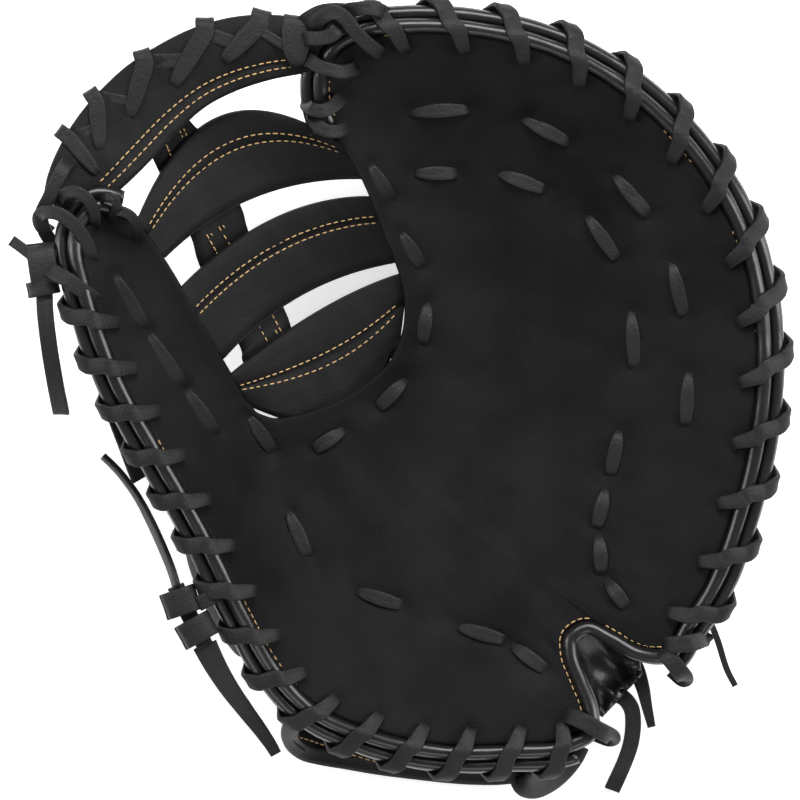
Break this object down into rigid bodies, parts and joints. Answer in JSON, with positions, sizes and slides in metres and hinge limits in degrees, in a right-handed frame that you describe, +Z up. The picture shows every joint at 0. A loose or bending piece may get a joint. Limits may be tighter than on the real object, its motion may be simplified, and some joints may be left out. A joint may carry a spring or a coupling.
{
  "type": "first baseman mitt",
  "caption": "Black leather first baseman mitt lying on its back, with padded horseshoe palm, rolled and laced rim, barred web and wrist strap.",
  "frame": {"origin": "on the ground, under the middle of the box round everything but the free lace ends", "axes": "+X from the thumb to the little finger, +Y from the heel to the finger tips, +Z up out of the palm"},
  "size_m": [0.2792, 0.2842, 0.099],
  "materials": {
    "palm_leather": "matte black steerhide, 3 mm with its lining and padding",
    "back_leather": "matte black steerhide",
    "rim_leather": "glossy black leather binding, rolled",
    "web_leather": "matte black steerhide, padded",
    "rawhide_lace": "waxed black rawhide"
  },
  "bodies": {
    "root": {"palm": "palm_leather", "back_fingers": "back_leather", "back_thumb": "back_leather", "front_roll_fingers": "rim_leather", "front_roll_thumb": "rim_leather", "rear_roll_fingers": "rim_leather", "rear_roll_thumb": "rim_leather", "notch_binding": "rim_leather", "notch_gusset": "rim_leather", "web_top_bar": "web_leather", "web_bar_2": "web_leather", "web_bar_3": "web_leather", "web_bar_4": "web_leather", "web_post": "web_leather", "wrist_strap": "back_leather", "rim_lace_fingers": "rawhide_lace", "corner_lace": "rawhide_lace", "rim_lace_thumb": "rawhide_lace", "thumb_top_lace": "rawhide_lace", "outer_lace": "rawhide_lace", "inner_lace": "rawhide_lace", "web_side_lace": "rawhide_lace", "thumb_lace": "rawhide_lace", "heel_lace": "rawhide_lace", "web_top_lace": "rawhide_lace", "thumb_strap_end": "back_leather", "web_knot": "rawhide_lace", "web_tail": "rawhide_lace", "thumb_knot": "rawhide_lace", "thumb_tail_upper": "rawhide_lace", "thumb_tail_lower": "rawhide_lace"}
  },
  "joints": []
}
